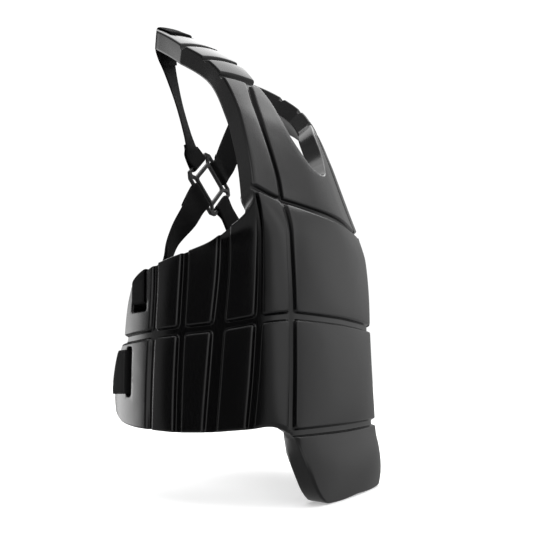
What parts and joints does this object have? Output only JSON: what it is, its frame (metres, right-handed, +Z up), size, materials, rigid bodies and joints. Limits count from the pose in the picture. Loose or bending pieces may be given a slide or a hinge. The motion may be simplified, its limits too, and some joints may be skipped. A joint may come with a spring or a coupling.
{
  "type": "martial arts chest guard",
  "caption": "One-piece moulded foam guard with grooved pads for chest, belly and ribs, shoulder straps and a lower flap, held on the back by webbing and a diamond buckle.",
  "frame": {"origin": "midway between the two places where the shoulder straps rest on the wearer's shoulders, on the inner face of the foam", "axes": "+Z up, -Y out of the wearer's chest, -X to the wearer's right"},
  "size_m": [0.3216, 0.2898, 0.5993],
  "materials": {
    "foam": "black dipped vinyl skin on foam, satin",
    "webbing": "black woven webbing, matte",
    "plastic": "dark grey moulded plastic, satin"
  },
  "bodies": {
    "root": {"foam_shell": "foam", "cross_buckle": "plastic", "shoulder_strap_right": "webbing", "shoulder_strap_left": "webbing", "side_strap_right": "webbing", "side_strap_left": "webbing", "waist_strap": "webbing"}
  },
  "joints": []
}
